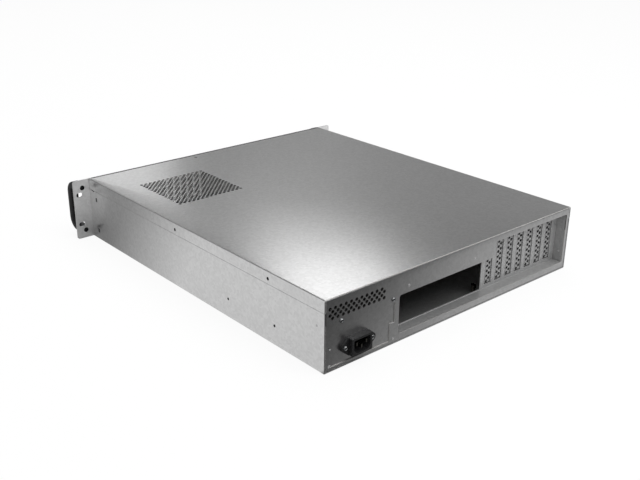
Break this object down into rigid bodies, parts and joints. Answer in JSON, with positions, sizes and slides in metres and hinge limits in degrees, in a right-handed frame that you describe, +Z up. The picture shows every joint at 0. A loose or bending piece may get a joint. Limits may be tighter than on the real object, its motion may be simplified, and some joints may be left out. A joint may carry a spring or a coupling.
{
  "type": "rackmount server case",
  "caption": "Empty two-unit rackmount server case of galvanised steel with black bow handles, a perforated lid and a recessed board and card opening at the rear.",
  "frame": {"origin": "on the underside, at the middle of the overall width and length", "axes": "+Z up, +Y towards the rear panel, +X towards the side with the power inlet"},
  "size_m": [0.4826, 0.5576, 0.088],
  "materials": {
    "galvanised": "satin galvanised sheet",
    "black_bar": "black anodised",
    "black_screw": "black zinc",
    "screw": "bright zinc",
    "black_plastic": "moulded",
    "grey_plastic": "moulded",
    "lamp": "clear",
    "circuit_board": "coated",
    "brass": "plain",
    "pin": "nickel plated"
  },
  "bodies": {
    "case": {"base_tray": "galvanised", "rear_panel": "galvanised", "inlet_plate": "galvanised", "slot_bracket": "galvanised", "slot_cover_1": "galvanised", "slot_cover_2": "galvanised", "slot_cover_3": "galvanised", "slot_cover_4": "galvanised", "slot_cover_5": "galvanised", "slot_cover_6": "galvanised", "slot_cover_7": "galvanised", "power_inlet": "black_plastic", "inlet_pins": "pin", "front_panel": "galvanised", "handle_inlet_side": "black_bar", "handle_card_side": "black_bar", "handle_screws": "black_screw", "front_rail": "galvanised", "standoffs": "brass", "fan_wall": "galvanised", "drive_cage_outer": "galvanised", "drive_cage_inner": "galvanised", "supply_bracket": "galvanised", "control_housing": "black_plastic", "control_board": "circuit_board", "lamp_lenses": "lamp", "usb_sockets": "pin", "small_screws": "screw"},
    "lid": {"lid": "galvanised"},
    "power_button": {"power_button": "grey_plastic"},
    "reset_button": {"reset_button": "grey_plastic"}
  },
  "joints": [
    {"name": "lid_lift", "type": "slide", "parent": "case", "child": "lid", "axis": [0, 0, 1], "range_m": [0, 0.06]},
    {"name": "power_press", "type": "slide", "parent": "case", "child": "power_button", "axis": [0, 1, 0], "range_m": [0, 0.0012], "stiffness_N_per_m": 250},
    {"name": "reset_press", "type": "slide", "parent": "case", "child": "reset_button", "axis": [0, 1, 0], "range_m": [0, 0.0012], "stiffness_N_per_m": 250}
  ]
}
